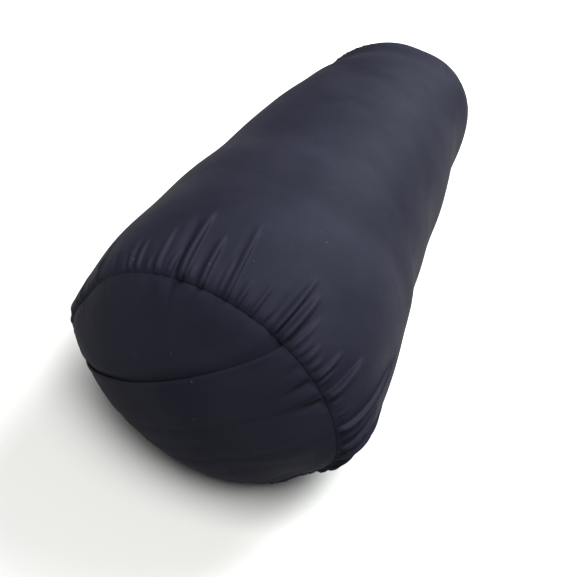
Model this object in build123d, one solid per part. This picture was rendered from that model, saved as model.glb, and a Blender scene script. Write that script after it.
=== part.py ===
from build123d import *
import math
import os

# Bolster pillow lying on its side: a sewn cover with an envelope opening in
# one end, and the stuffed inner pillow that it holds. Millimetres, +Z up.
# The long axis runs along Y and the opening is in the -Y end. The origin is
# on the ground under the middle, and X is across.

# Cover, outside
SEAM_SPACING = 572.0      # between the two end seams
SEAM_RADIUS_NEAR = 94.0   # end seam at the opening
SEAM_RADIUS_FAR = 90.0    # end seam at the closed end
SHOULDER_LENGTH = 92.0    # from an end seam to the full width
RADIUS_NEAR = 115.0       # fullest radius, at the opening end
RADIUS_FAR = 104.0        # fullest radius, at the closed end
DOME_HEIGHT = 36.0        # how far each end bulges past its seam
AXIS_HEIGHT = 87.0        # the axis above the ground, with the belly flattened
CLOTH = 1.0               # thickness of the cover cloth
ALLOWANCE = 12.0          # seam allowance, turned inwards
THREAD = 0.6              # thickness of a row of stitching
OVERLOCK_WIDTH = 3.5      # overlocked edge of a seam allowance

# Envelope opening, measured across the end disc from the axis
OPENING_TILT = 36.0       # the opening's slope on the end, in degrees
OPENING_EDGE = 32.0       # folded edge of the outer flap
OUTER_HEM = 66.0          # depth of the outer flap's hem
OVERLAP = 35.0            # how far the inner flap runs behind the outer one
INNER_HEM = 20.0          # depth of the inner flap's hem
STITCH_INSET = 2.0        # hem stitching from the hem's turned edge
FLAP_GAP = 0.3            # between the outer flap's edge and the inner flap

# Length seam of the cover, in the middle of the flat underside
LENGTH_ALLOWANCE = 11.0
LENGTH_SEAM_END = 14.0    # the length seam stops this far from the end seams

# Inner pillow
LINING = 0.8              # thickness of the inner pillow's cloth
INSERT_CLEARANCE = 0.3    # between the cover's wall and the inner pillow
INSERT_SEAM_Y = 276.0     # inner pillow's end seams from the middle
INSERT_SEAM_RADIUS = 78.0
INSERT_END_GAP = 5.2      # between the cover's dome and the inner one
INSERT_ALLOWANCE = 8.0
CLOSING_LENGTH = 160.0    # hand-sewn stretch of the inner length seam

SEAM_Y = SEAM_SPACING / 2
NEAR = -SEAM_Y
FAR = SEAM_Y
WIDE = 4 * RADIUS_NEAR    # larger than the pillow across
LONG = 4 * SEAM_Y         # larger than the pillow lengthways


def circle_through(on_circle, tangent, other):
    """Centre and radius of the circle that leaves on_circle along tangent."""
    normal = Vector(tangent.Y, -tangent.X).normalized()
    across = other - on_circle
    radius = across.dot(across) / (2 * normal.dot(across))
    return on_circle + normal * radius, abs(radius)


def meeting_point(first, second, near):
    """Where two circles cross, of the two places the one nearest to a point."""
    (centre_a, radius_a), (centre_b, radius_b) = first, second
    span = centre_b - centre_a
    along = (radius_a**2 - radius_b**2 + span.dot(span)) / (2 * span.length)
    aside = math.sqrt(radius_a**2 - along**2)
    unit = span.normalized()
    sides = [centre_a + unit * along + Vector(-unit.Y, unit.X) * turn * aside for turn in (1, -1)]
    return min(sides, key=lambda point: (point - near).length)


def arc_on(circle, start, end):
    """The short arc of a circle between two of its points."""
    centre, radius = circle
    middle = centre + ((start - centre) + (end - centre)).normalized() * radius
    return ThreePointArc(start, middle, end)


def shrunk(circle, depth):
    """The same circle with a smaller radius."""
    return circle[0], circle[1] - depth


class Outline:
    """Lengthways outline of a stuffed form: X is the radius, Y is the axis."""

    def __init__(self, seam_y, seam_radii, full_radii, shoulder, dome):
        side_y = seam_y - shoulder
        self.full = [Vector(full_radii[0], -side_y), Vector(full_radii[1], side_y)]
        self.side = (self.full[1] - self.full[0]).normalized()
        self.seams = []
        self.shoulders = []
        self.domes = []
        for end, seam_radius, full in zip((-1, 1), seam_radii, self.full):
            seam = Vector(seam_radius, end * seam_y)
            self.seams.append(seam)
            self.shoulders.append(circle_through(full, self.side * end, seam))
            apex = Vector(0, end * (seam_y + dome))
            self.domes.append(circle_through(apex, Vector(1, 0), seam))

    def face(self, depth):
        """Half of the outline, moved inwards by depth."""
        inward = Vector(-self.side.Y, self.side.X) * depth
        near_full, far_full = (point + inward for point in self.full)
        edges = [Line(near_full, far_full)]
        tips = []
        for index, full in enumerate((near_full, far_full)):
            shoulder = shrunk(self.shoulders[index], depth)
            dome = shrunk(self.domes[index], depth)
            corner = meeting_point(shoulder, dome, self.seams[index])
            tip = dome[0] + Vector(0, (-dome[1], dome[1])[index])
            edges.append(arc_on(shoulder, full, corner))
            edges.append(arc_on(dome, corner, tip))
            tips.append(tip)
        edges.append(Line(*tips))
        return make_face(edges)


def stuffed_form(outline, depth, ground):
    """The solid of revolution a given depth inside its outline, flat below."""
    solid = Pos(0, 0, AXIS_HEIGHT) * revolve(outline.face(depth), axis=Axis.Y)
    return solid & Pos(0, 0, ground + depth + WIDE / 2) * Box(WIDE, LONG, WIDE)


cover_outline = Outline(
    SEAM_Y, (SEAM_RADIUS_NEAR, SEAM_RADIUS_FAR), (RADIUS_NEAR, RADIUS_FAR), SHOULDER_LENGTH, DOME_HEIGHT
)
insert_inset = CLOTH + INSERT_CLEARANCE
insert_shoulder = SHOULDER_LENGTH - (SEAM_Y - INSERT_SEAM_Y)
insert_ground = 2 * CLOTH + THREAD + INSERT_CLEARANCE
insert_outline = Outline(
    INSERT_SEAM_Y,
    (INSERT_SEAM_RADIUS, INSERT_SEAM_RADIUS),
    (RADIUS_NEAR - insert_inset, RADIUS_FAR - insert_inset),
    insert_shoulder,
    SEAM_Y + DOME_HEIGHT - INSERT_END_GAP - INSERT_SEAM_Y,
)
forms = {}


def cover_form(depth):
    """The cover's outside, moved inwards by depth."""
    key = ("cover", round(depth, 3))
    if key not in forms:
        forms[key] = stuffed_form(cover_outline, depth, 0.0)
    return forms[key]


def insert_form(depth):
    """The inner pillow's outside, moved inwards by depth."""
    key = ("insert", round(depth, 3))
    if key not in forms:
        forms[key] = stuffed_form(insert_outline, depth, insert_ground)
    return forms[key]


def slab(y_low, y_high):
    """Everything between two planes across the axis."""
    return Pos(0, (y_low + y_high) / 2, 0) * Box(WIDE, y_high - y_low, WIDE)


def band(low, high):
    """Everything between two planes parallel to the opening's edge."""
    middle = Pos(0, 0, AXIS_HEIGHT) * Rot(0, -OPENING_TILT, 0) * Pos(0, 0, (low + high) / 2)
    return middle * Box(WIDE, LONG, high - low)


def layer(depth_out, depth_in, y_low, y_high):
    """A layer of the cover between two depths and two planes."""
    return (cover_form(depth_out) - cover_form(depth_in)) & slab(y_low, y_high)


def insert_layer(depth_out, depth_in, y_low, y_high):
    """A layer of the inner pillow between two depths and two planes."""
    return (insert_form(depth_out) - insert_form(depth_in)) & slab(y_low, y_high)


def strip(x_middle, width, z_low, height, y_low, y_high):
    """A flat strip that lies lengthways on the underside."""
    place = Pos(x_middle, (y_low + y_high) / 2, z_low + height / 2)
    return place * Box(width, y_high - y_low, height)


def cover_body_panel():
    """Long rectangle rolled into a tube, with its raw edges turned in."""
    wall = layer(0, CLOTH, NEAR, FAR)
    near_edge = layer(0, 2 * CLOTH, NEAR, NEAR + ALLOWANCE)
    far_edge = layer(0, 2 * CLOTH, FAR - ALLOWANCE, FAR)
    turned = strip(
        0, 2 * LENGTH_ALLOWANCE, CLOTH / 2, 1.5 * CLOTH, NEAR + LENGTH_SEAM_END, FAR - LENGTH_SEAM_END
    )
    return wall + near_edge + far_edge + turned


def cover_far_end_panel():
    """Round end, with its allowance turned in under the tube's."""
    dome = layer(0, CLOTH, FAR, FAR + 2 * DOME_HEIGHT)
    bridge = layer(0, 3 * CLOTH, FAR, FAR + CLOTH)
    turned = layer(2 * CLOTH, 3 * CLOTH, FAR - ALLOWANCE, FAR + CLOTH)
    return dome + bridge + turned


def cover_outer_flap():
    """Lower part of the open end: it lies outside and shows its folded edge."""
    dome = layer(0, CLOTH, 2 * NEAR, NEAR) & band(-WIDE, OPENING_EDGE)
    hem_foot = OPENING_EDGE - OUTER_HEM
    hem = layer(CLOTH / 2, 2 * CLOTH, 2 * NEAR, NEAR - CLOTH) & band(hem_foot, OPENING_EDGE)
    bridge = layer(0, 3 * CLOTH, NEAR - CLOTH, NEAR) & band(-WIDE, OPENING_EDGE)
    turned = layer(2 * CLOTH, 3 * CLOTH, NEAR - CLOTH, NEAR + ALLOWANCE)
    return dome + hem + bridge + (turned & band(-WIDE, OPENING_EDGE))


def cover_inner_flap():
    """Upper part of the open end: its hem is tucked behind the outer flap."""
    foot = OPENING_EDGE - OVERLAP
    whole = band(foot, WIDE)
    clear = band(OPENING_EDGE + FLAP_GAP, WIDE)
    dome = layer(2 * CLOTH, 3 * CLOTH, 2 * NEAR, NEAR - CLOTH) & whole
    hem = layer(2.5 * CLOTH, 4 * CLOTH, 2 * NEAR, NEAR - CLOTH) & band(foot, foot + INNER_HEM)
    root = layer(2 * CLOTH, 4 * CLOTH, NEAR - 2 * CLOTH, NEAR - CLOTH) & whole
    turned = layer(3 * CLOTH, 4 * CLOTH, NEAR - 2 * CLOTH, NEAR + ALLOWANCE) & whole
    lip = layer(0, 4 * CLOTH, NEAR - 2 * CLOTH, NEAR) & clear
    backing = layer(2 * CLOTH, 4 * CLOTH, NEAR - CLOTH, NEAR + ALLOWANCE) & clear
    return dome + hem + root + turned + lip + backing


def cover_near_seam_thread():
    """Row of stitches that holds tube and flaps together."""
    start = NEAR + CLOTH
    row = layer(4 * CLOTH, 4 * CLOTH + THREAD, start, start + THREAD)
    low_row = layer(3 * CLOTH, 4 * CLOTH + THREAD, start, start + THREAD)
    return row + (low_row & band(-WIDE, OPENING_EDGE - OVERLAP - FLAP_GAP))


def cover_near_seam_overlock():
    """Overlocked raw edges of the near seam allowance."""
    end = NEAR + ALLOWANCE
    cap = layer(CLOTH, 4 * CLOTH + THREAD, end, end + THREAD)
    row = layer(4 * CLOTH, 4 * CLOTH + THREAD, end - OVERLOCK_WIDTH, end + THREAD)
    low_row = layer(3 * CLOTH, 4 * CLOTH + THREAD, end - OVERLOCK_WIDTH, end + THREAD)
    return cap + row + (low_row & band(-WIDE, OPENING_EDGE - OVERLAP - FLAP_GAP))


def cover_far_seam_thread():
    """Row of stitches that holds tube and closed end together."""
    return layer(3 * CLOTH, 3 * CLOTH + THREAD, FAR - CLOTH - THREAD, FAR - CLOTH)


def cover_far_seam_overlock():
    """Overlocked raw edges of the far seam allowance."""
    end = FAR - ALLOWANCE
    cap = layer(CLOTH, 3 * CLOTH + THREAD, end - THREAD, end)
    row = layer(3 * CLOTH, 3 * CLOTH + THREAD, end - THREAD, end + OVERLOCK_WIDTH)
    return cap + row


def cover_length_seam_thread():
    """Stitching where the tube's long edges meet."""
    ends = (NEAR + LENGTH_SEAM_END, FAR - LENGTH_SEAM_END)
    return strip(0, THREAD, 2 * CLOTH, THREAD, *ends)


def cover_length_seam_overlock():
    """Overlocked raw edges of the length seam allowance, one each side."""
    ends = (NEAR + LENGTH_SEAM_END, FAR - LENGTH_SEAM_END)
    reach = LENGTH_ALLOWANCE - OVERLOCK_WIDTH / 2
    rows = [strip(side * reach, OVERLOCK_WIDTH, 2 * CLOTH, THREAD, *ends) for side in (1, -1)]
    return Compound(children=rows)


def outer_flap_hem_stitching():
    """Row of stitches along the turned edge of the outer flap's hem."""
    line = OPENING_EDGE - OUTER_HEM + STITCH_INSET
    row = layer(2 * CLOTH, 2 * CLOTH + THREAD, 2 * NEAR, NEAR - 3 * CLOTH)
    return row & band(line - THREAD / 2, line + THREAD / 2)


def inner_flap_hem_stitching():
    """Row of stitches along the turned edge of the inner flap's hem."""
    line = OPENING_EDGE - OVERLAP + INNER_HEM - STITCH_INSET
    row = layer(4 * CLOTH, 4 * CLOTH + THREAD, 2 * NEAR, NEAR - 4 * CLOTH)
    return row & band(line - THREAD / 2, line + THREAD / 2)


def insert_body_panel():
    """Tube of the inner pillow, with its edges turned in."""
    end = INSERT_SEAM_Y
    wall = insert_layer(0, LINING, -end, end)
    near_edge = insert_layer(0, 2 * LINING, -end, -end + INSERT_ALLOWANCE)
    far_edge = insert_layer(0, 2 * LINING, end - INSERT_ALLOWANCE, end)
    turned = strip(
        0,
        2 * INSERT_ALLOWANCE,
        insert_ground + LINING / 2,
        1.5 * LINING,
        -end + LENGTH_SEAM_END,
        end - LENGTH_SEAM_END,
    )
    return wall + near_edge + far_edge + turned


def insert_end_panel(side):
    """Round end of the inner pillow; side is -1 near and 1 far."""
    seam = side * INSERT_SEAM_Y
    dome = insert_layer(0, LINING, *sorted((seam, 2 * seam)))
    bridge = insert_layer(0, 3 * LINING, *sorted((seam, seam + side * LINING)))
    reach = sorted((seam - side * INSERT_ALLOWANCE, seam + side * LINING))
    return dome + bridge + insert_layer(2 * LINING, 3 * LINING, *reach)


def insert_end_thread(side):
    """Row of stitches in an end seam of the inner pillow."""
    start = side * (INSERT_SEAM_Y - LINING)
    return insert_layer(3 * LINING, 3 * LINING + THREAD, *sorted((start, start - side * THREAD)))


def insert_length_seam_thread():
    """Machine-sewn stretches of the inner length seam, either side of the gap."""
    floor = insert_ground + 2 * LINING
    end = INSERT_SEAM_Y - LENGTH_SEAM_END
    rows = [
        strip(0, THREAD, floor, THREAD, -end, -CLOSING_LENGTH / 2),
        strip(0, THREAD, floor, THREAD, CLOSING_LENGTH / 2, end),
    ]
    return Compound(children=rows)


def insert_closing_thread():
    """Hand stitches over the gap that the filling went in through."""
    floor = insert_ground + 2 * LINING
    pitch = 8.0
    count = int(CLOSING_LENGTH / pitch)
    first = -CLOSING_LENGTH / 2 + pitch / 2
    stitches = []
    for index in range(count):
        place = Pos(0, first + index * pitch, floor + THREAD / 2) * Rot(0, 0, 35)
        stitches.append(place * Box(5.0, 2 * THREAD, THREAD))
    return Compound(children=stitches)


def fibre_filling():
    """Polyester fibre that fills the inner pillow."""
    clear_y = INSERT_SEAM_Y - INSERT_ALLOWANCE
    core = insert_form(3 * LINING + THREAD)
    middle = insert_form(LINING) & slab(-clear_y, clear_y)
    seam_room = strip(
        0, 2 * INSERT_ALLOWANCE + THREAD, insert_ground, 2 * LINING + THREAD, -INSERT_SEAM_Y, INSERT_SEAM_Y
    )
    return core + middle - seam_room


def write_parts():
    """One STEP file for each piece, named after it."""
    pieces = {
        "cover_body_panel": cover_body_panel(),
        "cover_far_end_panel": cover_far_end_panel(),
        "cover_outer_flap": cover_outer_flap(),
        "cover_inner_flap": cover_inner_flap(),
        "cover_near_seam_thread": cover_near_seam_thread(),
        "cover_far_seam_thread": cover_far_seam_thread(),
        "cover_length_seam_thread": cover_length_seam_thread(),
        "cover_near_seam_overlock": cover_near_seam_overlock(),
        "cover_far_seam_overlock": cover_far_seam_overlock(),
        "cover_length_seam_overlock": cover_length_seam_overlock(),
        "outer_flap_hem_stitching": outer_flap_hem_stitching(),
        "inner_flap_hem_stitching": inner_flap_hem_stitching(),
        "insert_body_panel": insert_body_panel(),
        "insert_near_end_panel": insert_end_panel(-1),
        "insert_far_end_panel": insert_end_panel(1),
        "insert_near_seam_thread": insert_end_thread(-1),
        "insert_far_seam_thread": insert_end_thread(1),
        "insert_length_seam_thread": insert_length_seam_thread(),
        "insert_closing_thread": insert_closing_thread(),
        "fibre_filling": fibre_filling(),
    }
    os.makedirs("parts", exist_ok=True)
    for name, piece in pieces.items():
        export_step(piece, f"parts/{name}.step")


write_parts()
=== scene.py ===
"""Bolster pillow: the sewn cover, its stitching and the stuffed inner pillow, as cloth.

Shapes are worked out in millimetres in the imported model's frame, and turned into metres when
a mesh is made. The long axis is Y, and the open end is the -Y one. An angle round the
pillow runs from +X towards +Z.
"""
import math

import bpy
import numpy as np
from mathutils import Matrix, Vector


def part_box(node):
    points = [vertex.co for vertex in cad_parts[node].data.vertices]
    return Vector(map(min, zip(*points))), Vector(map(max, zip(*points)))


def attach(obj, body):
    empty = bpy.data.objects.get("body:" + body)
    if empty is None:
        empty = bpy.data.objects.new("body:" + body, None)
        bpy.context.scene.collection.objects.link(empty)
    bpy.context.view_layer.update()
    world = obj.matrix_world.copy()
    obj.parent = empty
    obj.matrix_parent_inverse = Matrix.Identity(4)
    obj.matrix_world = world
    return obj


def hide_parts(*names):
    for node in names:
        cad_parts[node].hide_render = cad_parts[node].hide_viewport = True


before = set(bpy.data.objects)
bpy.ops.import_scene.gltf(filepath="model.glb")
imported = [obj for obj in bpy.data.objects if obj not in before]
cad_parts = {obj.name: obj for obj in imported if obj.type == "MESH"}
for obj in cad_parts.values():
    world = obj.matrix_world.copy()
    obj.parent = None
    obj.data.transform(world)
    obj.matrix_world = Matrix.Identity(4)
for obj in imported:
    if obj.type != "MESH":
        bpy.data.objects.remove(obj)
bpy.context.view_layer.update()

MM = 0.001
TAU = 2 * math.pi
BOTTOM = -math.pi / 2

# Stuffed form of the cover
SEAM_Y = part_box("cover_body_panel")[1][1] / MM     # end seams from the middle
AXIS_HEIGHT = 88.0
SEAM_RADIUS = 91.5
RADIUS_NEAR = 108.4       # fullest radius behind the open end
RADIUS_MIDDLE = 103.5
RADIUS_FAR = 95.0         # fullest radius at the closed end
WIDENING = 1.087          # the pillow sags wider than it is high
SHOULDER = 110.0          # lengthways run from an end seam to the full radius
DOME_HEIGHT = 35.0
DOME_POWER = 0.726        # below 1 the dome bulges beside its seam
GROUND_SOFTNESS = 7.0     # rounding where the belly leaves the ground
TILT_REACH = 125.0        # how far along the pillow an end's tilt is felt
NEAR_TILT = (7.0, -5.3)   # degrees about X and Z
FAR_TILT = (2.3, 6.8)
SEAM_SINK = 0.1           # how far the stitches pull an end seam in
SINK_REACH = 1.8          # how soon that pull fades away from the seam
SEAM_HALF_GAP = 0.08      # from an end seam to the cloth on each side of it

# Where the stuffing stands out or falls in, as (angle in degrees, y, reach in degrees,
# reach lengthways, height)
SWELLS = [
    (10, -15, 24, 105, -5.3),
    (6, 192, 24, 60, -4.0),
    (44, 260, 28, 38, 6.0),
    (80, 277, 12, 16, -2.2),
    (135, 228, 22, 45, -4.0),
    (132, 35, 20, 90, 1.1),
    (140, -190, 30, 110, -2.8),
    (154, -280, 16, 32, -3.2),
    (177, -291, 13, 28, 3.4),
    (-30, -284, 17, 40, -7.8),
    (-2, -268, 14, 30, 3.9),
    (12, -224, 14, 34, -3.2),
    (18, -139, 14, 26, 1.8),
]
END_SWELL = 5.6           # the open end bulges low down
END_SWELL_AT = (28, -58)  # middle of that bulge, across and up
END_SWELL_REACH = (60, 34)

# Cloth of the cover
CLOTH = 0.7               # thickness
ALLOWANCE = 12.0          # raw edge turned in at an end seam
LENGTH_REACH = 10.0       # raw edge turned in at the length seam
COLUMNS = 490             # cloth points round the tube
NEAR_ROW = 2.3            # row spacing in the open end's gathers
MIDDLE_ROW = 13.0
FAR_ROW = 3.4

# Envelope opening, in the plane of the open end
OPENING_TILT = 37.5
OPENING_EDGE = 31.0
OUTER_HEM = 65.0
OVERLAP = 34.5
INNER_HEM = 20.0
HEM_FOLD = 0.72           # radius of a hem's folded edge
INNER_DEPTH = 2.25        # the inner flap lies this far under the outer one's face
OVERLAP_STEP = 1.3        # the outer flap's face steps down past the tucked edge
HEM_STEP = 1.1            # and again past its own hem
STITCH_INSET = 2          # from a hem's turned edge to its stitching
RIM_CLEARANCE = 0.03      # from the outermost row of an end to its seam
LIFT_REACH = 9            # how far from the seam a flap's layers come together

# How far the turned-in raw edges lie under an end seam, layer by layer
TUBE_EDGE_DEPTH = 3.6
INNER_FLAP_EDGE_DEPTH = 4.8
FAR_END_EDGE_DEPTH = 5.0
OUTER_FLAP_EDGE_DEPTH = 6.2

# Uneven stuffing
LUMP_WAVES = 14
LUMP_SIZE = 38
LUMP_HEIGHT = 0.28

# Sewing
PITCH = 3.2               # from one seam stitch to the next
STITCH = 2.8              # length of a seam stitch
SEAM_THREAD = 0.22        # radius of the thread
HEM_PITCH = 3.0
HEM_STITCH = 2.4
HEM_THREAD = 0.17
OVERLOCK_THREAD = 0.2
OVERLOCK_WIDTH = 3.2
OVERLOCK_LOOPS = 230      # round an end seam
LENGTH_LOOPS = 225        # along the length seam
LENGTH_SEAM_END = 14      # the length seam's overlocking stops this far from an end

rng = np.random.default_rng(12)


# ---------------------------------------------------------------- stuffed form

def smooth_step(t):
    """0 below 0, 1 above 1, smooth between."""
    t = np.clip(t, 0, 1)
    return t * t * (3 - 2 * t)


def turned(points, centre_y, tilt, weight):
    """Points turned about X, then Z, round the axis at centre_y, by weight times tilt."""
    about_x = math.radians(tilt[0]) * weight
    about_z = math.radians(tilt[1]) * weight
    x = points[..., 0]
    y = points[..., 1] - centre_y
    z = points[..., 2] - AXIS_HEIGHT
    y, z = y * np.cos(about_x) - z * np.sin(about_x), y * np.sin(about_x) + z * np.cos(about_x)
    x, y = x * np.cos(about_z) - y * np.sin(about_z), x * np.sin(about_z) + y * np.cos(about_z)
    return np.stack([x, y + centre_y, z + AXIS_HEIGHT], -1)


def swollen(points):
    """Points moved away from the axis where the stuffing stands out."""
    x = points[..., 0] / WIDENING
    z = points[..., 2] - AXIS_HEIGHT
    degrees = np.degrees(np.arctan2(z, x))
    growth = np.zeros(x.shape)
    for angle, y, reach, long_reach, height in SWELLS:
        off = (degrees - angle + 180) % 360 - 180
        growth += height * np.exp(-((off / reach) ** 2) - ((points[..., 1] - y) / long_reach) ** 2)
    growth = 1 + growth / RADIUS_MIDDLE
    return np.stack([x * growth * WIDENING, points[..., 1], z * growth + AXIS_HEIGHT], -1)


def settled(points, ground=0.0):
    """Ends tilted as the pillow lies, and the belly flattened by the ground."""
    points = swollen(points)
    y = points[..., 1]
    points = turned(points, -SEAM_Y, NEAR_TILT, smooth_step(1 - (y + SEAM_Y) / TILT_REACH))
    points = turned(points, SEAM_Y, FAR_TILT, smooth_step(1 - (SEAM_Y - y) / TILT_REACH))
    height = points[..., 2] - ground
    points[..., 2] = ground + (height + np.sqrt(height**2 + GROUND_SOFTNESS**2)) / 2
    return points


def full_radius(y):
    """Radius of the taut tube, without its drawn-in ends."""
    along = np.asarray(y) / SEAM_Y
    to_middle = (1 - np.cos(np.clip(along + 1, 0, 1) * math.pi)) / 2
    to_far = (1 - np.cos(np.clip(along, 0, 1) * math.pi)) / 2
    return RADIUS_NEAR + (RADIUS_MIDDLE - RADIUS_NEAR) * to_middle + (RADIUS_FAR - RADIUS_MIDDLE) * to_far


def tube_radius(y):
    """Radius of the stuffed tube, drawn in to its end seams in a quarter ellipse."""
    inward = np.clip((SEAM_Y - np.abs(y)) / SHOULDER, 0, 1)
    drawn = np.sqrt(np.clip(1 - (1 - inward) ** 2, 0, 1))
    return SEAM_RADIUS + (full_radius(y) - SEAM_RADIUS) * drawn


def ring_points(angle, y, radius, ground=0.0):
    """Points of the settled pillow at an angle and a radius from its axis."""
    x = radius * WIDENING * np.cos(angle)
    z = radius * np.sin(angle) + AXIS_HEIGHT
    return settled(np.stack(np.broadcast_arrays(x, y, z), -1).astype(float), ground)


def dome_points(across, up, side, inset=0.0):
    """Points of a domed end, from places in the plane of its seam."""
    radius = SEAM_RADIUS - inset
    share = np.clip((across**2 + up**2) / radius**2, 0, 1)
    off_across = (across - END_SWELL_AT[0]) / END_SWELL_REACH[0]
    off_up = (up - END_SWELL_AT[1]) / END_SWELL_REACH[1]
    low = np.exp(-(off_across**2) - off_up**2) * (side < 0)
    rise = DOME_HEIGHT * (1 - share) ** DOME_POWER + END_SWELL * low * np.sqrt(1 - share)
    y = side * (SEAM_Y - inset + rise)
    return settled(np.stack([across * WIDENING, y, up + AXIS_HEIGHT], -1), inset)


def even_angles(y, radius, shares):
    """Angles that divide a ring's length into shares, counted from the bottom."""
    angle = BOTTOM + np.linspace(0, TAU, 721)
    ring = ring_points(angle, np.full_like(angle, y), radius)
    length = np.concatenate([[0], np.cumsum(np.linalg.norm(np.diff(ring, axis=0), axis=1))])
    return np.interp(shares % 1.0, length / length[-1], angle), length[-1]


def grid_normals(points, closed):
    """Unit normals of a grid; columns run round the pillow, closed or open."""
    along = np.gradient(points, axis=0)
    if closed:
        around = np.roll(points, -1, axis=1) - np.roll(points, 1, axis=1)
    else:
        around = np.gradient(points, axis=1)
    normals = np.cross(around, along)
    return normals / np.maximum(np.linalg.norm(normals, axis=-1, keepdims=True), 1e-9)


# ---------------------------------------------------------------- gathered tube

# Creases where the tube is gathered onto the open end's seam, as (angle in degrees at the
# seam, angle at the crease's end, length, depth, half width, lean); lean makes the cloth on
# the greater-angle side stand higher
MAIN_CREASES = [
    (131, 132, 20, 1.3, 1.3, 0.3),
    (125, 127, 16, 1.2, 1.1, 0.1),
    (121.5, 124, 30, 2.2, 1.3, 0.5),
    (117.5, 120, 28, 2.0, 1.3, 0.0),
    (113, 113.5, 12, 1.4, 1.0, 0.0),
    (108.8, 112.5, 40, 2.4, 1.5, -0.2),
    (104.2, 105, 22, 1.8, 1.0, 0.2),
    (99.0, 103.4, 56, 6.0, 2.6, 1.3),
    (95.8, 96.5, 12, 1.2, 1.0, 0.0),
    (91.4, 94.3, 38, 4.4, 1.9, 0.0),
    (84.6, 86.8, 26, 2.0, 1.2, 0.0),
    (82.2, 87, 56, 3.0, 1.5, 0.2),
    (77.9, 78.4, 18, 2.2, 1.2, 0.1),
    (75.4, 75, 9, 1.0, 0.9, 0.0),
    (72.5, 72.5, 24, 2.2, 1.3, 0.2),
    (68.6, 68, 12, 1.1, 1.0, 0.0),
    (66, 65.6, 10, 1.2, 0.9, 0.0),
    (63.8, 63, 44, 5.0, 2.0, 0.3),
    (59.9, 59, 36, 5.4, 2.2, -0.3),
    (55.5, 54.2, 26, 1.8, 1.3, 0.1),
    (52, 51.5, 14, 1.2, 1.0, 0.0),
    (48.6, 48.8, 16, 2.0, 1.2, -0.1),
    (45, 45, 12, 1.2, 1.0, 0.0),
    (41, 41.4, 24, 3.2, 1.7, -0.2),
    (38.4, 38.8, 15, 1.6, 1.2, 0.0),
    (32.2, 33.0, 36, 5.6, 2.2, -0.2),
    (27.5, 28, 12, 1.2, 1.0, 0.2),
    (22, 22.5, 12, 1.0, 1.0, 0.0),
    (15.6, 10.5, 84, 4.4, 1.8, -0.5),
    (10, 9, 24, 1.6, 1.3, 0.1),
    (4.5, 7, 44, 3.2, 1.7, -0.4),
    (-1.5, -3, 60, 2.8, 1.6, 0.0),
    (-6.5, -7, 28, 2.2, 1.4, 0.0),
    (-11.5, -10, 46, 2.8, 1.6, -0.3),
    (-17, -16, 32, 2.0, 1.5, 0.0),
]
FOLD_LEAN = 0.6           # how far a fold leans over, for its depth
UPRIGHT_FOLD = 58         # folds lean away from the one at this angle
UNSEEN_FROM = -24.0       # from here round the bottom and left side, creases are made up
UNSEEN_TO = -222.0


def column_angles(radius, y):
    """Angle of each column of cloth round a row: columns are closer on the creased side."""
    place = np.linspace(0, 1, 1441)
    angle, _ = even_angles(y, radius, place[:-1])
    angle = np.append(angle, angle[0] + TAU)
    degrees = np.degrees(angle)
    close = smooth_step((degrees + 32) / 20) * smooth_step((148 - degrees) / 20)
    density = 0.42 + 0.58 * close
    total = np.concatenate([[0], np.cumsum((density[1:] + density[:-1]) / 2)])
    return np.interp(np.arange(COLUMNS) / COLUMNS, total / total[-1], angle)


def row_places():
    """Rows of the tube, fine in the gathers and coarse between: their y, and their place along the cloth."""
    y = np.linspace(-SEAM_Y + SEAM_HALF_GAP, SEAM_Y - SEAM_HALF_GAP, 4001)
    radius = tube_radius(y)
    length = np.concatenate([[0], np.cumsum(np.hypot(np.diff(y), np.diff(radius)))])
    places = [0.0]
    while places[-1] < length[-1]:
        near_step = NEAR_ROW + (MIDDLE_ROW - NEAR_ROW) * float(smooth_step((places[-1] - 60) / 90))
        from_far = length[-1] - places[-1]
        far_step = FAR_ROW + (MIDDLE_ROW - FAR_ROW) * float(smooth_step((from_far - 35) / 80))
        places.append(places[-1] + min(near_step, far_step))
    places = np.array(places) * length[-1] / places[-1]
    places = np.concatenate([[0, 0.3], places[1:-1], [length[-1] - 0.3, length[-1]]])
    return np.interp(places, length, y), places


def crease(degrees, radius, from_seam, start, end, length, depth, width, lean):
    """Height of one crease, a narrow fold between soft ridges, and how far its fold leans over."""
    along = np.clip(from_seam / length, 0, 1)
    centre = start + (end - start) * along
    off = np.radians((degrees - centre + 180) % 360 - 180) * radius
    across = off / (width * (0.8 + 0.4 * along))
    core = max(0.95, 0.68 * width)
    fold = 0.78 * np.exp(-np.abs(off / core) ** 2.2)
    hollow = 0.28 * np.exp(-np.sqrt(across**2 + 0.02) * 1.2)
    ridges = max(0.5 + lean, 0) * np.exp(-(((across - 2.4) / 1.3) ** 2))
    ridges += max(0.5 - lean, 0) * np.exp(-(((across + 2.4) / 1.3) ** 2))
    fade = smooth_step(from_seam / 4 + 0.35) * (1 - along**2.6)
    leaning = -FOLD_LEAN * min(max((start - UPRIGHT_FOLD) / 28, -0.9), 1)
    return depth * fade * (ridges * 0.24 - fold - hollow), depth * fade * fold * leaning


def made_up_creases(first, last, spacing, lengths, depths):
    """Creases at uneven places round a seam, long and short ones mixed."""
    creases = []
    angle = first
    while angle > last:
        long_one = rng.random() ** 2.2
        length = lengths[0] + (lengths[1] - lengths[0]) * long_one
        depth = depths[0] + (depths[1] - depths[0]) * (0.35 * rng.random() + 0.65 * long_one)
        width = rng.uniform(1.1, 1.6) + 0.6 * long_one
        creases.append((angle, angle + rng.normal() * 2.5, length, depth, width, rng.uniform(-0.4, 0.4)))
        angle -= rng.uniform(*spacing)
    return creases


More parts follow.
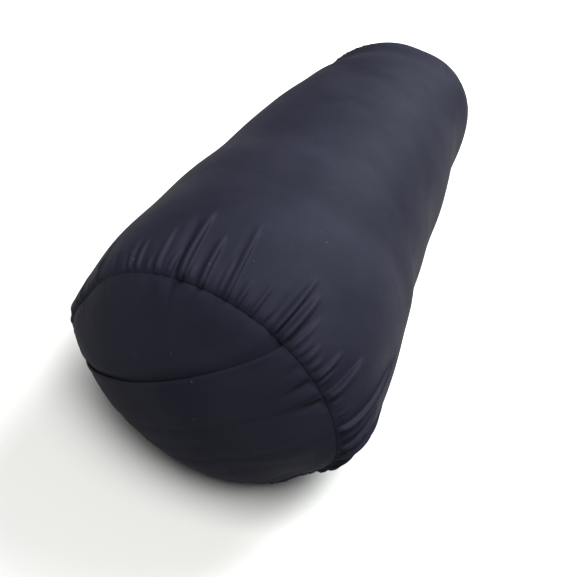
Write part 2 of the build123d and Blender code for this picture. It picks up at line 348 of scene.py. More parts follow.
def stuffing_lumps(points):
    """Low uneven swell of the stuffing, in millimetres."""
    lumps = np.zeros(points.shape[:-1])
    for _ in range(LUMP_WAVES):
        wave = rng.normal(size=3) * (1 / LUMP_SIZE)
        lumps += np.sin(points @ wave + rng.uniform(0, TAU)) * LUMP_HEIGHT
    return lumps


def gathered_tube():
    """The cover's tube, gathered onto both end seams."""
    y, places = row_places()
    form = np.zeros((len(y), COLUMNS, 3))
    angles = np.zeros((len(y), COLUMNS))
    radii = np.array([float(tube_radius(row_y)) for row_y in y])
    for row, (row_y, radius) in enumerate(zip(y, radii)):
        angles[row] = column_angles(radius, row_y)
        form[row] = ring_points(angles[row], np.full(COLUMNS, row_y), radius)
    degrees = np.degrees(angles)
    unseen = made_up_creases(UNSEEN_FROM, UNSEEN_TO, spacing=(3.5, 8.5), lengths=(10, 60), depths=(0.5, 1.7))
    height = stuffing_lumps(form)
    slide = np.zeros_like(height)
    for one in MAIN_CREASES + unseen:
        rise, lean = crease(degrees, radii[:, None], places[:, None], *one)
        height += rise
        slide += lean
    for one in made_up_creases(270, -90, spacing=(4, 10), lengths=(8, 42), depths=(0.3, 1.2)):
        rise, _ = crease(degrees, radii[:, None], (places[-1] - places)[:, None], *one)
        height += rise
    from_end = np.minimum(places, places[-1] - places)
    free = smooth_step(from_end / 2.5)[:, None]
    around = np.roll(form, -1, axis=1) - form
    around /= np.linalg.norm(around, axis=-1, keepdims=True)
    cloth = form + grid_normals(form, True) * (height * free)[..., None] + around * (slide * free)[..., None]
    near_ring, far_ring = seam_ring(-1, angles[0]), seam_ring(1, angles[-1])
    sink = np.exp(-from_end / SINK_REACH)[:, None, None]
    to_ring = np.where((places < places[-1] / 2)[:, None, None], near_ring - form[0], far_ring - form[-1])
    cloth += to_ring * sink
    return cloth, places, angles[0], angles[-1]


def seam_ring(side, angle, sink=SEAM_SINK, shift=SEAM_HALF_GAP):
    """Points by an end seam; shift is towards the middle of the pillow."""
    y = side * (SEAM_Y - shift)
    radius = float(tube_radius(y)) if shift > SEAM_HALF_GAP else SEAM_RADIUS
    return ring_points(angle, np.full_like(angle, y), radius - sink)


# ---------------------------------------------------------------- meshes

def grid_faces(rows, columns, closed):
    """Quads of a grid whose rows run on along the pillow, facing outwards."""
    across = columns if closed else columns - 1
    row, column = np.meshgrid(np.arange(rows - 1), np.arange(across), indexing="ij")
    here = row * columns + column
    beside = row * columns + (column + 1) % columns
    return np.stack([here, beside, beside + columns, here + columns], -1).reshape(-1, 4)


def add_piece(name, points, faces, material, cloth_places=None):
    """A smooth mesh from points in millimetres, riding on the pillow."""
    mesh = bpy.data.meshes.new(name)
    points = np.asarray(points, float).reshape(-1, 3) * MM
    mesh.from_pydata(points.tolist(), [], [[int(corner) for corner in face] for face in faces])
    mesh.polygons.foreach_set("use_smooth", [True] * len(mesh.polygons))
    if cloth_places is not None:
        places = mesh.attributes.new("cloth_mm", "FLOAT_VECTOR", "POINT")
        flat = np.zeros((len(mesh.vertices), 3))
        flat[:, :2] = np.asarray(cloth_places).reshape(-1, 2)
        places.data.foreach_set("vector", flat.ravel())
    mesh.materials.append(material)
    piece = bpy.data.objects.new(name, mesh)
    bpy.context.scene.collection.objects.link(piece)
    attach(piece, "root")
    return piece


def thicken(piece, thickness):
    """Gives a cloth surface its thickness, inwards."""
    solid = piece.modifiers.new("thickness", "SOLIDIFY")
    solid.thickness = thickness * MM
    solid.offset = -1


def turned_edge(side, angles, depth):
    """Rows of cloth turned in past an end seam, depth under the seam."""
    steps = [(0.3, 0.8), (0.75, 2.2), (0.9, 5.0), (1.0, 8.5), (1.0, ALLOWANCE)]
    return [seam_ring(side, angles, SEAM_SINK + depth * share, inward) for share, inward in steps]


def cover_body():
    """The gathered tube with its raw edges turned in and its length seam below."""
    cloth, places, near_angles, far_angles = gathered_tube()
    column = np.arange(COLUMNS)
    from_seam = np.minimum(column, COLUMNS - column) * TAU * RADIUS_MIDDLE / COLUMNS
    groove = 1.1 * np.exp(-((from_seam / 2.2) ** 2)) * smooth_step(places / 20)[:, None]
    cloth = cloth - grid_normals(cloth, True) * groove[..., None]
    cloth[..., 2] = np.maximum(cloth[..., 2], 0.3)
    near_rows = turned_edge(-1, near_angles, TUBE_EDGE_DEPTH)[::-1]
    far_rows = turned_edge(1, far_angles, TUBE_EDGE_DEPTH)
    points = np.concatenate([np.array(near_rows), cloth, np.array(far_rows)])
    turned_in = np.linspace(2, ALLOWANCE, len(near_rows))
    along = np.concatenate([-turned_in[::-1], places, places[-1] + turned_in])
    width = TAU * RADIUS_NEAR / COLUMNS
    cloth_places = np.stack(np.broadcast_arrays(column[None, :] * width, along[:, None]), -1)
    faces = grid_faces(len(points), COLUMNS, True)
    piece = add_piece("cover_body", points, faces, materials["cover"], cloth_places)
    thicken(piece, CLOTH)
    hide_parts("cover_body_panel")
    return cloth[4:-4, 0]


# ---------------------------------------------------------------- ends

# Puckers beside the open end's seam, as (angle in degrees, reach inwards, half width in
# degrees, height)
MAIN_PUCKERS = [
    (112, 7, 1.3, -0.4),
    (106, 11, 2.0, 1.1),
    (101.5, 10, 1.3, -1.3),
    (95, 6, 1.3, 0.4),
    (48.5, 7, 1.2, -0.9),
    (44.5, 8, 1.3, 0.6),
    (41.0, 13, 1.3, -2.2),
    (36.8, 10, 1.5, 1.5),
    (31.5, 15, 1.4, -2.6),
    (27.0, 11, 1.6, 1.5),
    (22.5, 6, 1.3, -0.5),
    (15.5, 6, 1.3, -0.7),
]


def small_puckers():
    """Faint puckers all round a seam."""
    puckers = []
    angle = 0.0
    while angle < 360:
        puckers.append((angle, rng.uniform(3, 9), rng.uniform(0.8, 1.6), rng.uniform(-0.35, 0.3)))
        angle += rng.uniform(3, 7)
    return puckers


def pucker_height(across, up, from_rim, puckers):
    """Height of the puckers at places in the plane of an end."""
    angle = np.degrees(np.arctan2(up, across))
    height = np.zeros_like(from_rim)
    for centre, reach, width, tall in puckers:
        off = (angle - centre + 180) % 360 - 180
        height += tall * np.exp(-((off / width) ** 2)) * np.exp(-((from_rim / reach) ** 2))
    return height * smooth_step(from_rim / 2 + 0.15)


def end_layer(across, up, side, lift, puckers=()):
    """A layer of a domed end: lifted off it, sunk into its seam and puckered beside it."""
    nudge = 0.02
    base = dome_points(across, up, side)
    over = dome_points(across + nudge, up, side) - dome_points(across - nudge, up, side)
    rise = dome_points(across, up + nudge, side) - dome_points(across, up - nudge, side)
    normal = np.cross(over, rise) * -side
    normal /= np.maximum(np.linalg.norm(normal, axis=-1, keepdims=True), 1e-12)
    from_rim = SEAM_RADIUS - np.hypot(across, up)
    sink = SEAM_SINK * np.exp(-from_rim / SINK_REACH)
    height = lift - sink + pucker_height(across, up, from_rim, puckers)
    return base + normal * height[..., None]


def across_and_up(u, v):
    """Places on the open end from distances along and across its opening."""
    tilt = math.radians(OPENING_TILT)
    return u * math.cos(tilt) - v * math.sin(tilt), u * math.sin(tilt) + v * math.cos(tilt)


def chord_grid(chord, upper, rows, columns):
    """Grid of places from a chord of the end out to its rim, above or below the chord."""
    radius = SEAM_RADIUS - RIM_CLEARANCE
    half = math.sqrt(radius**2 - chord**2)
    right = math.atan2(chord, half)
    left = math.pi - right if upper else -math.pi - right
    share = np.linspace(0, 1, columns)
    angle = right + (left - right) * share
    reach = np.sin(np.linspace(0, 1, rows) * math.pi / 2)[:, None]
    u = (1 - reach) * half * (1 - 2 * share) + reach * radius * np.cos(angle)
    v = (1 - reach) * chord + reach * radius * np.sin(angle)
    return u, v


def outer_lift(v, from_rim):
    """Height of the outer flap: its edge rolls up, and it steps down past hidden edges."""
    roll = 0.5 * np.exp(-(((v - OPENING_EDGE + 1.4) / 1.8) ** 2))
    overlap_foot = OPENING_EDGE - OVERLAP
    hem_foot = OPENING_EDGE - OUTER_HEM
    past_overlap = smooth_step((overlap_foot - v) / 2.4 + 0.5)
    past_hem = smooth_step((hem_foot - v) / 2.4 + 0.5)
    swell = 0.7 * np.exp(-(((v - overlap_foot + 9) / 6) ** 2))
    swell = swell + 0.7 * np.exp(-(((v - hem_foot + 8) / 6) ** 2))
    stitched = np.exp(-(((v - hem_foot - STITCH_INSET) / 1.3) ** 2))
    level = roll + swell - OVERLAP_STEP * past_overlap - HEM_STEP * past_hem - 0.5 * stitched
    return level * smooth_step(from_rim / LIFT_REACH)


def inner_lift(v, from_rim):
    """Depth of the inner flap: it dips to pass under the outer one."""
    under = smooth_step((OPENING_EDGE + 9 - v) / 9)
    return -INNER_DEPTH * under - 0.1 * (1 - under) * smooth_step(from_rim / LIFT_REACH)


def flap(name, node, chord, upper, hem, lift_at, puckers):
    """A flap with its free edge folded under as a hem and its round edge turned in."""
    rows, columns = 92, 300
    u, v = chord_grid(chord, upper, rows, columns)
    beyond = -1 if upper else 1    # the free edge's side of the chord
    hem_u, hem_v, hem_drop = [], [], []
    for turn in np.linspace(0, math.pi, 7)[1:]:
        hem_u.append(u[0])
        hem_v.append(v[0] + beyond * HEM_FOLD * math.sin(turn))
        hem_drop.append(HEM_FOLD * (1 - math.cos(turn)))
    for share in np.linspace(0, 1, 22)[1:]:
        row_v = chord - beyond * hem * share
        half = math.sqrt(SEAM_RADIUS**2 - row_v**2) - 3 * min(1, share * 8)
        hem_u.append(np.linspace(half, -half, columns))
        hem_v.append(np.full(columns, row_v))
        hem_drop.append(2 * HEM_FOLD)
    all_u = np.concatenate([np.array(hem_u)[::-1], u])
    all_v = np.concatenate([np.array(hem_v)[::-1], v])
    drop = np.concatenate([np.array(hem_drop)[::-1], np.zeros(rows)])[:, None]
    across, up = across_and_up(all_u, all_v)
    from_rim = SEAM_RADIUS - np.hypot(across, up)
    points = end_layer(across, up, -1, lift_at(all_v, from_rim) - drop, puckers)
    rim_angles = np.arctan2(up[-1], across[-1])
    rim = turned_edge(-1, rim_angles, INNER_FLAP_EDGE_DEPTH if upper else OUTER_FLAP_EDGE_DEPTH)
    points = np.concatenate([points, np.array(rim)])
    rim_u = np.repeat(all_u[-1:], len(rim), axis=0)
    rim_v = all_v[-1:] + np.linspace(2, ALLOWANCE, len(rim))[:, None] * (1 if upper else -1)
    cloth_u = np.concatenate([all_u, rim_u])
    cloth_v = np.concatenate([all_v, rim_v])
    faces = grid_faces(len(points), columns, False)
    piece = add_piece(
        name, points, faces, materials["cover"], np.stack([cloth_u, cloth_v], -1)
    )
    thicken(piece, CLOTH)
    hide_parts(node)


def far_end():
    """The closed end's round panel, with its edge turned in."""
    rows, columns = 56, 280
    puckers = small_puckers()
    angles = BOTTOM + np.linspace(0, TAU, columns, endpoint=False)
    reach = np.sin(np.linspace(1, 0.012, rows) * math.pi / 2)[:, None] * (SEAM_RADIUS - RIM_CLEARANCE)
    across, up = reach * np.cos(angles), reach * np.sin(angles)
    points = end_layer(across, up, 1, np.full_like(across, -0.2), puckers)
    rim = turned_edge(1, angles, FAR_END_EDGE_DEPTH)[::-1]
    points = np.concatenate([np.array(rim), points])
    faces = list(grid_faces(len(points), columns, True))
    faces.append(np.arange(columns) + (len(points) - 1) * columns)
    cloth_places = points[..., [0, 2]]
    piece = add_piece("far_end", points, faces, materials["cover"], cloth_places)
    thicken(piece, CLOTH)
    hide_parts("cover_far_end_panel")


def cover_ends():
    """Both flaps of the open end, and the closed end."""
    puckers = MAIN_PUCKERS + small_puckers()
    flap("outer_flap", "cover_outer_flap", OPENING_EDGE, False, OUTER_HEM, outer_lift, puckers)
    tuck = OPENING_EDGE - OVERLAP
    flap("inner_flap", "cover_inner_flap", tuck, True, INNER_HEM, inner_lift, puckers)
    far_end()
    return puckers


# ---------------------------------------------------------------- stitching

def tubes(paths, radius, reference, closed=False, sides=5):
    """Points and faces of round threads along paths; reference is never along a path."""
    points, faces = [], []
    turn = np.arange(sides) * TAU / sides
    for path, beside in zip(paths, reference):
        if closed:
            along = np.roll(path, -1, axis=0) - np.roll(path, 1, axis=0)
        else:
            along = np.gradient(path, axis=0)
        aside = np.cross(along, beside)
        aside /= np.linalg.norm(aside, axis=1, keepdims=True)
        other = np.cross(along, aside)
        other /= np.linalg.norm(other, axis=1, keepdims=True)
        circle = np.cos(turn)[:, None] * aside[:, None] + np.sin(turn)[:, None] * other[:, None]
        start = len(points) * sides
        rings = path[:, None] + radius * circle
        points.extend(rings)
        quads = grid_faces(len(path), sides, True)
        if closed:
            quads = grid_faces(len(path) + 1, sides, True) % (len(path) * sides)
        faces.extend((quads + start).tolist())
        if not closed:
            first = list(range(start, start + sides))
            last = list(range(start + (len(path) - 1) * sides, start + len(path) * sides))
            faces.extend([first[::-1], last])
    return np.array(points).reshape(-1, 3), faces


def thread_piece(name, node, paths, reference, radius, material, closed=False):
    """Thread along paths, standing for a node of the CAD."""
    points, faces = tubes(paths, radius, reference, closed)
    piece = add_piece(name, points, faces, materials[material])
    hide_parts(node)


def stitches_along(line, outwards, pitch, length, dip):
    """Short separate stitches along a line, their ends going down into the cloth."""
    step = np.linalg.norm(np.diff(line, axis=0), axis=1)
    place = np.concatenate([[0], np.cumsum(step)])
    paths, references = [], []
    for start in np.arange(pitch / 2, place[-1] - pitch, pitch):
        at = start + length * np.linspace(0, 1, 5)
        path = np.stack([np.interp(at, place, line[:, axis]) for axis in range(3)], -1)
        up = np.stack([np.interp(at, place, outwards[:, axis]) for axis in range(3)], -1)
        path -= up * dip * np.array([1, 0.25, 0, 0.25, 1])[:, None]
        paths.append(path)
        references.append(up)
    return paths, references


def radial(points):
    """Directions away from the pillow's axis."""
    out = points * [1, 0, 1] - [0, 0, AXIS_HEIGHT]
    return out / np.linalg.norm(out, axis=1, keepdims=True)


def seam_stitches(name, node, side, sink, shift, radius, form, material):
    """Stitches round an end seam."""
    line = form(side, BOTTOM + np.linspace(0, TAU, 721), sink, shift)
    paths, references = stitches_along(line, radial(line), PITCH, STITCH, dip=0.5)
    thread_piece(name, node, paths, references, radius, material)


def overlock_loops(edges, inward, count, top, bottom, width):
    """One long thread that wraps a raw edge: over it, round it, back under it."""
    corners = [(-width, top), (0.5, top), (0.5, bottom), (-width, bottom)]
    place = (np.arange(count * 4) + 0.5) / (count * 4)
    reach = np.tile([corner[0] for corner in corners], count)
    depth = np.tile([corner[1] for corner in corners], count)
    return edges(place, inward + reach, depth)


def seam_overlock(name, node, side, top, bottom):
    """Overlocked raw edges of an end seam's allowance."""

    def edges(place, shift, depth):
        """Points on the turned-in edge, from places round it, towards the middle and inwards."""
        points = []
        for angle, reach, sink in zip(BOTTOM + TAU * place, shift, SEAM_SINK + depth):
            points.append(seam_ring(side, np.array([angle]), sink, reach)[0])
        return np.array(points)

    path = overlock_loops(edges, ALLOWANCE, OVERLOCK_LOOPS, top, bottom, OVERLOCK_WIDTH)
    beside = np.cross(radial(path), [0, 1, 0])
    thread_piece(name, node, [path], [beside], OVERLOCK_THREAD, "thread", closed=True)


def length_seam(line):
    """Stitches of the cover's length seam, and its overlocked edges, inside along the bottom."""
    up = np.tile([0.0, 0.0, 1.0], (len(line), 1))
    sewn = line + [0, 0, 1.6]
    paths, references = stitches_along(sewn, up, PITCH, STITCH, dip=0.4)
    thread_piece(
        "length_seam_thread", "cover_length_seam_thread",
        paths, references, SEAM_THREAD, "thread",
    )
    place = np.linspace(LENGTH_SEAM_END, np.ptp(line[:, 1]) - LENGTH_SEAM_END, 4 * LENGTH_LOOPS)
    y = line[:, 1].min() + place
    z = np.interp(y, line[:, 1], line[:, 2])
    outer, inner = LENGTH_REACH + 0.5, LENGTH_REACH - 3
    top, bottom = 4.7, 2.3
    zigzag = np.tile([outer, outer, inner, inner], LENGTH_LOOPS)
    height = np.tile([top, bottom, bottom, top], LENGTH_LOOPS)
    path = np.stack([zigzag, y, z + height], -1)
    beside = np.tile([0.0, 1.0, 0.0], (len(path), 1))
    thread_piece(
        "length_seam_overlock", "cover_length_seam_overlock",
        [path], [beside], OVERLOCK_THREAD, "thread",
    )


def hem_stitches(name, node, line_v, lift, puckers):
    """Row of stitches along a hem, across an open-end flap."""
    half = math.sqrt((SEAM_RADIUS - 5) ** 2 - line_v**2)
    u = np.linspace(half, -half, 400)
    across, up = across_and_up(u, np.full_like(u, line_v))
    from_rim = SEAM_RADIUS - np.hypot(across, up)
    height = lift(np.full_like(u, line_v), from_rim) + 0.08
    line = end_layer(across, up, -1, height, puckers)
    outwards = end_layer(across, up, -1, height + 1, puckers) - line
    paths, references = stitches_along(line, outwards, HEM_PITCH, HEM_STITCH, dip=0.45)
    thread_piece(name, node, paths, references, HEM_THREAD, "thread")


# ---------------------------------------------------------------- inner pillow

INSERT_INSET = 10.0       # between the cover's form and the inner pillow's
FILLING_INSET = 3.5       # between the inner pillow's form and its filling
INSERT_ALLOWANCE = 8.0
LINING = 0.6              # thickness of the inner cloth
CLOSING_LENGTH = 160.0    # hand-sewn stretch of the inner length seam
CLOSING_PITCH = 7.0       # from one hand stitch to the next
CLOSING_REACH = 6         # length of a hand stitch, across the gap
CLOSING_THREAD = 0.3
INSERT_COLUMNS = 160


def inner_tube(inset, side_rows):
    """Tube form that stays inset from the cover and ends at its own end seams."""
    end = SEAM_Y - inset
    y = end * np.sin(np.linspace(-1, 1, side_rows) * math.pi / 2)
    angle = BOTTOM + np.arange(INSERT_COLUMNS) * TAU / INSERT_COLUMNS
    rows = []
    for row_y in y:
        radius = float(tube_radius(row_y * SEAM_Y / end)) - inset
        rows.append(ring_points(angle, np.full_like(angle, row_y), radius, inset))
    return np.array(rows)


def inner_dome(side, inset, rows):
    """Domed end inset from the cover's, from its rim inwards."""
    angle = BOTTOM + np.arange(INSERT_COLUMNS) * TAU / INSERT_COLUMNS
    reach = np.sin(np.linspace(1, 0.02, rows) * math.pi / 2)[:, None] * (SEAM_RADIUS - inset - 0.1)
    return dome_points(reach * np.cos(angle), reach * np.sin(angle), side, inset)


def inner_ring(side, angle, sink, shift):
    """Ring by an end seam of the inner pillow."""
    y = np.full_like(angle, side * (SEAM_Y - INSERT_INSET - shift))
    return ring_points(angle, y, SEAM_RADIUS - INSERT_INSET - sink, INSERT_INSET)


def inner_turned_edge(side, depth):
    """The inner pillow's raw edge, turned in past its end seam."""
    angle = BOTTOM + np.arange(INSERT_COLUMNS) * TAU / INSERT_COLUMNS
    steps = [(0.4, 1.0), (1.0, 3.0), (1.0, INSERT_ALLOWANCE)]
    return np.array([inner_ring(side, angle, depth * share, inward) for share, inward in steps])


def insert_body():
    """Tube of the inner pillow, slightly uneven over its stuffing."""
    tube = inner_tube(INSERT_INSET, 60)
    tube = tube - grid_normals(tube, True) * (0.6 + np.abs(stuffing_lumps(tube)))[..., None]
    points = np.concatenate([inner_turned_edge(-1, 2.0)[::-1], tube, inner_turned_edge(1, 2.0)])
    along = np.concatenate([[0], np.cumsum(np.linalg.norm(np.diff(points[:, 0], axis=0), axis=1))])
    width = TAU * (RADIUS_MIDDLE - INSERT_INSET)
    around = np.arange(INSERT_COLUMNS) * width / INSERT_COLUMNS
    cloth_places = np.stack(np.broadcast_arrays(around[None, :], along[:, None]), -1)
    faces = grid_faces(len(points), INSERT_COLUMNS, True)
    piece = add_piece("insert_body", points, faces, materials["lining"], cloth_places)
    thicken(piece, LINING)
    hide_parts("insert_body_panel")
    return tube[:, 0]


def insert_end(name, node, side):
    """Round end of the inner pillow."""
    dome = inner_dome(side, INSERT_INSET, 36)
    points = np.concatenate([inner_turned_edge(side, 3.2)[::-1], dome])
    columns = np.arange(INSERT_COLUMNS)
    faces = [list(face) for face in grid_faces(len(points), INSERT_COLUMNS, True)]
    faces.append(list(columns + (len(points) - 1) * INSERT_COLUMNS))
    if side < 0:
        faces = [face[::-1] for face in faces]
    piece = add_piece(
        name, points, faces, materials["lining"], points[..., [0, 2]]
    )
    thicken(piece, LINING)
    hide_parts(node)


def insert_stitching(bottom_line):
    """Machine-sewn seams of the inner pillow, and the hand stitches that closed it."""
    for side, name in ((-1, "near"), (1, "far")):
        seam_stitches(
            f"insert_{name}_thread",
            f"insert_{name}_seam_thread",
            side, 0.4, 0.1, SEAM_THREAD, inner_ring, "white_thread",
        )
    y = bottom_line[:, 1]
    up = np.tile([0.0, 0.0, 1.0], (len(bottom_line), 1))
    paths, references = [], []
    for sewn in (y < -CLOSING_LENGTH / 2, y > CLOSING_LENGTH / 2):
        some, beside = stitches_along(bottom_line[sewn] - [0, 0, 0.1], up[sewn], PITCH, STITCH, dip=-0.4)
        paths += some
        references += beside
    thread_piece(
        "insert_length_thread", "insert_length_seam_thread",
        paths, references, SEAM_THREAD, "white_thread",
    )
    paths, references = [], []
    for start in np.arange(-CLOSING_LENGTH / 2 + 4, CLOSING_LENGTH / 2 - 2, CLOSING_PITCH):
        along = np.linspace(0, 1, 5)
        at = start + 2.0 * along
        z = np.interp(at, y, bottom_line[:, 2]) - 0.3 + 0.5 * (2 * along - 1) ** 2
        paths.append(np.stack([(along - 0.5) * CLOSING_REACH, at, z], -1))
        references.append(np.tile([0.0, 0.0, 1.0], (5, 1)))
    thread_piece(
        "insert_closing_stitches", "insert_closing_thread",
        paths, references, CLOSING_THREAD, "white_thread",
    )


def filling():
    """Fibre filling as one lumpy closed mass."""
    inset = INSERT_INSET + FILLING_INSET
    near = inner_dome(-1, inset, 24)[::-1]
    far = inner_dome(1, inset, 24)
    points = np.concatenate([near, inner_tube(inset, 64)[1:-1], far])
    lumps = 0.2 + 1.3 * np.abs(stuffing_lumps(points))
    points = points - grid_normals(points, True) * lumps[..., None]
    columns = np.arange(INSERT_COLUMNS)
    faces = [list(face) for face in grid_faces(len(points), INSERT_COLUMNS, True)]
    faces.append(list(columns[::-1]))
    faces.append(list(columns + (len(points) - 1) * INSERT_COLUMNS))
    piece = add_piece("filling", points, faces, materials["fibre"])
    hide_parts("fibre_filling")


# ---------------------------------------------------------------- materials

MIX_A, MIX_B, MIX_RESULT = 6, 7, 2     # the Mix node's colour sockets

def new_material(name):
    """A material with its nodes, links and main shader."""
    material = bpy.data.materials.new(name)
    material.use_nodes = True
    nodes = material.node_tree.nodes
    return material, nodes, material.node_tree.links, nodes["Principled BSDF"]


def noise_at(nodes, links, vector, scale, detail=2.0):
    """A noise texture's value at a vector."""
    noise = nodes.new("ShaderNodeTexNoise")
    noise.inputs["Scale"].default_value = scale
    noise.inputs["Detail"].default_value = detail
    links.new(vector, noise.inputs["Vector"])
    return noise.outputs["Fac"]


def ramp_between(nodes, links, value, low, high, colours):
    """Colour that goes from the first to the second as value goes from low to high."""
    ramp = nodes.new("ShaderNodeValToRGB")
    for element, place, colour in zip(ramp.color_ramp.elements, (low, high), colours):
        element.position = place
        element.color = (*colour, 1)
    links.new(value, ramp.inputs["Fac"])
    return ramp.outputs["Color"]


def bump_from(nodes, links, height, strength, distance, below=None):
    """A bump of a height in metres on top of another bump."""
    bump = nodes.new("ShaderNodeBump")
    bump.inputs["Strength"].default_value = strength
    bump.inputs["Distance"].default_value = distance
    links.new(height, bump.inputs["Height"])
    if below is not None:
        links.new(below, bump.inputs["Normal"])
    return bump.outputs["Normal"]


def threads(nodes, links, places, pitch_mm, direction):
    """Rounded threads side by side, as a height."""
    wave = nodes.new("ShaderNodeTexWave")
    wave.bands_direction = direction
    wave.inputs["Scale"].default_value = math.pi / (10 * pitch_mm)
    wave.inputs["Distortion"].default_value = 0.0
    links.new(places, wave.inputs["Vector"])
    return wave.outputs["Fac"]


def cloth_material(name, dark, light, pitch_mm, weave, roughness, specular, sheen, tint, lint):
    """Woven cloth: threads in both directions, fine creasing, uneven dye and lint."""
    material, nodes, links, shader = new_material(name)
    places = nodes.new("ShaderNodeAttribute")
    places.attribute_name = "cloth_mm"
    here = nodes.new("ShaderNodeTexCoord").outputs["Object"]
    warp = threads(nodes, links, places.outputs["Vector"], pitch_mm, "X")
    weft = threads(nodes, links, places.outputs["Vector"], pitch_mm, "Y")
    crossing = nodes.new("ShaderNodeMath")
    crossing.operation = "MULTIPLY"
    links.new(warp, crossing.inputs[0])
    links.new(weft, crossing.inputs[1])
    tone = noise_at(nodes, links, here, scale=22, detail=4)
    base = ramp_between(nodes, links, tone, 0.3, 0.7, (dark, light))
    if lint:
        specks = noise_at(nodes, links, here, scale=420, detail=1)
        spot = ramp_between(nodes, links, specks, 0.79, 0.83, ((0, 0, 0), (1, 1, 1)))
        mix = nodes.new("ShaderNodeMix")
        mix.data_type = "RGBA"
        links.new(spot, mix.inputs["Factor"])
        links.new(base, mix.inputs[MIX_A])
        mix.inputs[MIX_B].default_value = (*lint, 1)
        base = mix.outputs[MIX_RESULT]
    links.new(base, shader.inputs["Base Color"])
    rough = nodes.new("ShaderNodeMapRange")
    rough.inputs["To Min"].default_value = roughness - 0.05
    rough.inputs["To Max"].default_value = roughness + 0.05
    links.new(noise_at(nodes, links, here, scale=60, detail=3), rough.inputs["Value"])
    links.new(rough.outputs["Result"], shader.inputs["Roughness"])
    soft = noise_at(nodes, links, here, scale=55, detail=3)
    creases = bump_from(nodes, links, soft, strength=0.25, distance=0.0012)
    fine = noise_at(nodes, links, here, scale=900, detail=2)
    grain = bump_from(nodes, links, fine, strength=0.4, distance=0.0002, below=creases)
    crossings = crossing.outputs["Value"]
    woven = bump_from(nodes, links, crossings, strength=weave, distance=0.00015, below=grain)
    links.new(woven, shader.inputs["Normal"])
    shader.inputs["Specular IOR Level"].default_value = specular
    shader.inputs["Specular Tint"].default_value = (*tint, 1)
    shader.inputs["Sheen Weight"].default_value = sheen
    shader.inputs["Sheen Roughness"].default_value = 0.45
    shader.inputs["Sheen Tint"].default_value = (*tint, 1)
    return material


def thread_material(name, dark, light):
    """Twisted sewing thread."""
    material, nodes, links, shader = new_material(name)
    here = nodes.new("ShaderNodeTexCoord").outputs["Object"]
    tone = noise_at(nodes, links, here, scale=700, detail=2)
    base = ramp_between(nodes, links, tone, 0.35, 0.65, (dark, light))
    links.new(base, shader.inputs["Base Color"])
    strands = noise_at(nodes, links, here, scale=2500, detail=2)
    twist = bump_from(nodes, links, strands, strength=0.5, distance=0.0001)
    links.new(twist, shader.inputs["Normal"])
    shader.inputs["Roughness"].default_value = 0.5
    return material


def fibre_material():
    """Fluffy fibre: soft clumps with a felted surface."""
    material, nodes, links, shader = new_material("fibre")
    here = nodes.new("ShaderNodeTexCoord").outputs["Object"]
    clumps = noise_at(nodes, links, here, scale=70, detail=6)
    base = ramp_between(nodes, links, clumps, 0.3, 0.7, ((0.72, 0.72, 0.70), (0.88, 0.88, 0.86)))
    links.new(base, shader.inputs["Base Color"])
    felted = bump_from(nodes, links, clumps, strength=0.8, distance=0.004)
    links.new(felted, shader.inputs["Normal"])
    shader.inputs["Roughness"].default_value = 0.95
    shader.inputs["Sheen Weight"].default_value = 0.4
    return material


materials = {
    "cover": cloth_material(
        "cover_microfibre",
        dark=(0.0152, 0.0152, 0.0236),
        light=(0.0208, 0.0208, 0.0318),
        pitch_mm=0.32,
        weave=0.25,
        roughness=0.55,
        specular=0.045,
        sheen=0.0,
        tint=(0.72, 0.79, 1.0),
        lint=(0.10, 0.10, 0.12),
    ),
    "thread": thread_material("cover_thread", (0.009, 0.009, 0.014), (0.016, 0.016, 0.025)),
    "lining": cloth_material(
        "lining_cotton",
        dark=(0.62, 0.60, 0.54),
        light=(0.70, 0.68, 0.62),
        pitch_mm=0.5,
        weave=0.6,
        roughness=0.85,
        specular=0.3,
        sheen=0.2,
        tint=(1.0, 1.0, 1.0),
        lint=None,
    ),
    "white_thread": thread_material("lining_thread", (0.70, 0.69, 0.66), (0.82, 0.81, 0.78)),
    "fibre": fibre_material(),
}


# ---------------------------------------------------------------- stage and camera

CAMERA_FROM_SEAM = (20.6, 47.3, 443.7)   # azimuth, elevation and distance from the near seam's middle
CAMERA_HEADING = -12.3                   # from +Y towards +X
CAMERA_PITCH = 37.5                      # downwards
CAMERA_ROLL = 13.1
CAMERA_LENS = 40.5
FLOOR_REACH = 6.0                        # metres from the middle to the floor's edges
LAMP_AIM = 0.1                           # height in metres that the lamps point at


def direction(azimuth, elevation):
    """Unit vector from the near end: azimuth from -Y towards +X."""
    azimuth, elevation = math.radians(azimuth), math.radians(elevation)
    level = math.cos(elevation)
    return np.array([math.sin(azimuth) * level, -math.cos(azimuth) * level, math.sin(elevation)])


def add_camera():
    """Looks down on the open end from near by, as a hand-held camera does."""
    azimuth, elevation, distance = CAMERA_FROM_SEAM
    place = direction(azimuth, elevation) * distance + np.array([0, -SEAM_Y, AXIS_HEIGHT])
    heading, pitch, roll = (math.radians(a) for a in (CAMERA_HEADING, CAMERA_PITCH, CAMERA_ROLL))
    forward = np.array(
        [math.sin(heading) * math.cos(pitch), math.cos(heading) * math.cos(pitch), -math.sin(pitch)]
    )
    level_right = np.array([math.cos(heading), -math.sin(heading), 0])
    level_up = np.cross(level_right, forward)
    right = math.cos(roll) * level_right + math.sin(roll) * level_up
    up = np.cross(right, forward)
    camera = bpy.data.objects.new("camera", bpy.data.cameras.new("camera"))
    bpy.context.scene.collection.objects.link(camera)
    axes = np.stack([right, up, -forward], 1)
    matrix = np.eye(4)
    matrix[:3, :3] = axes
    matrix[:3, 3] = place * MM
    camera.matrix_world = Matrix(matrix.tolist())
    camera.data.sensor_width = 36
    camera.data.lens = CAMERA_LENS
    camera.data.clip_start = 0.01
    bpy.context.scene.camera = camera


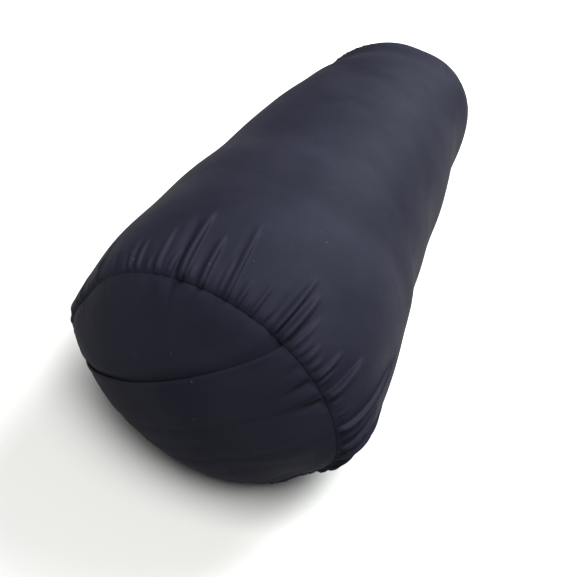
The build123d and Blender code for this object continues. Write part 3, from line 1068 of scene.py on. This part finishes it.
def add_light(name, azimuth, elevation, distance, size, power, colour):
    """A soft square light aimed at the middle of the pillow; distance and size are in metres."""
    light = bpy.data.lights.new(name, "AREA")
    light.shape = "SQUARE"
    light.size = size
    light.energy = power
    light.color = colour
    lamp = bpy.data.objects.new(name, light)
    bpy.context.scene.collection.objects.link(lamp)
    away = direction(azimuth, elevation)
    aside = np.cross([0, 0, 1], away)
    aside /= np.linalg.norm(aside)
    matrix = np.eye(4)
    matrix[:3, :3] = np.stack([aside, np.cross(away, aside), away], 1)
    matrix[:3, 3] = away * distance + np.array([0, 0, LAMP_AIM])
    lamp.matrix_world = Matrix(matrix.tolist())


def add_stage():
    """Plain pale floor and soft studio light."""
    mesh = bpy.data.meshes.new("floor")
    far = FLOOR_REACH
    corners = [(-far, -far, 0), (far, -far, 0), (far, far, 0), (-far, far, 0)]
    mesh.from_pydata(corners, [], [(0, 1, 2, 3)])
    floor = bpy.data.objects.new("floor", mesh)
    bpy.context.scene.collection.objects.link(floor)
    material, _, _, shader = new_material("floor")
    shader.inputs["Base Color"].default_value = (0.46, 0.46, 0.456, 1)
    shader.inputs["Roughness"].default_value = 0.9
    shader.inputs["Specular IOR Level"].default_value = 0.1
    mesh.materials.append(material)
    world = bpy.data.worlds.new("studio")
    bpy.context.scene.world = world
    world.use_nodes = True
    background = world.node_tree.nodes["Background"]
    background.inputs["Color"].default_value = (0.97, 0.98, 1.0, 1)
    background.inputs["Strength"].default_value = 0.22
    window_colour, overhead_colour = (0.96, 0.99, 0.98), (0.99, 0.99, 0.97)
    add_light("window", 151, 48, distance=3.0, size=1.7, power=156, colour=window_colour)
    add_light("overhead", 16, 66, distance=2.2, size=1.4, power=66, colour=overhead_colour)
    view = bpy.context.scene.view_settings
    view.view_transform = "Standard"
    view.exposure = 0.5
    view.gamma = 0.8


# ---------------------------------------------------------------- build

def cover_stitching(bottom_line, puckers):
    """All the cover's sewing thread."""
    for side, name in ((-1, "near"), (1, "far")):
        seam_stitches(
            f"{name}_seam_thread",
            f"cover_{name}_seam_thread",
            side, SEAM_SINK + 0.5, 0.2, SEAM_THREAD, seam_ring, "thread",
        )
    seam_overlock("near_seam_overlock", "cover_near_seam_overlock", -1, 2.5, 7.3)
    seam_overlock("far_seam_overlock", "cover_far_seam_overlock", 1, 2.5, 6.1)
    length_seam(bottom_line)
    outer_line = OPENING_EDGE - OUTER_HEM + STITCH_INSET
    inner_line = OPENING_EDGE - OVERLAP + INNER_HEM - STITCH_INSET
    hem_stitches("outer_hem_stitches", "outer_flap_hem_stitching", outer_line, outer_lift, puckers)
    hem_stitches("inner_hem_stitches", "inner_flap_hem_stitching", inner_line, inner_lift, puckers)


add_camera()
add_stage()
bottom_line = cover_body()
near_puckers = cover_ends()
cover_stitching(bottom_line, near_puckers)
insert_stitching(insert_body())
insert_end("insert_near_end", "insert_near_end_panel", -1)
insert_end("insert_far_end", "insert_far_end_panel", 1)
filling()
